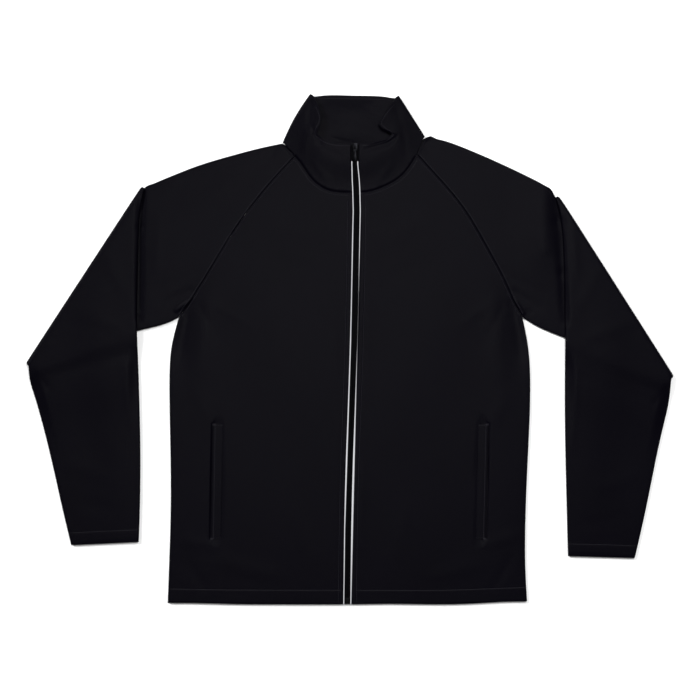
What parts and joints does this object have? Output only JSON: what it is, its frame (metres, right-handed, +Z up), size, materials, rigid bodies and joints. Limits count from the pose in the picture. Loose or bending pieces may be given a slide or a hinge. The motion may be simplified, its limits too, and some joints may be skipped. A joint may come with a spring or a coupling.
{
  "type": "windbreaker jacket",
  "caption": "Zip-front windbreaker with raglan sleeves, a stand-up collar, side pockets and reflective piping along the zip, laid flat with its sleeves folded.",
  "frame": {"origin": "bottom centre of the bounding box, on the surface that the garment lies on", "axes": "+Z up from the surface, +Y from hem to collar, +X towards the wearer's left"},
  "size_m": [1.0072, 0.7946, 0.0173],
  "materials": {
    "shell_cloth": "matte bonded cloth",
    "facing_cloth": "matte",
    "reflective_piping": "silver reflective",
    "zip_tape": "matte",
    "zip_metal": "dark satin",
    "zip_plastic": "matte"
  },
  "bodies": {
    "garment": {"back": "shell_cloth", "front_right": "shell_cloth", "front_left": "shell_cloth", "sleeve_right": "shell_cloth", "sleeve_left": "shell_cloth", "collar": "shell_cloth", "collar_facing": "facing_cloth", "pocket_welt_right": "shell_cloth", "pocket_welt_left": "shell_cloth", "piping_right": "reflective_piping", "piping_left": "reflective_piping", "zip_tape_right": "zip_tape", "zip_tape_left": "zip_tape", "zip_slider": "zip_metal", "zip_box": "zip_plastic"},
    "zip_pull": {"zip_pull": "zip_metal"}
  },
  "joints": [
    {"name": "pull_swing", "type": "hinge", "parent": "garment", "child": "zip_pull", "pos_m": [0.00769, 0.31578, 0.01395], "axis": [-1, 0, 0], "range_deg": [0, 150]}
  ]
}
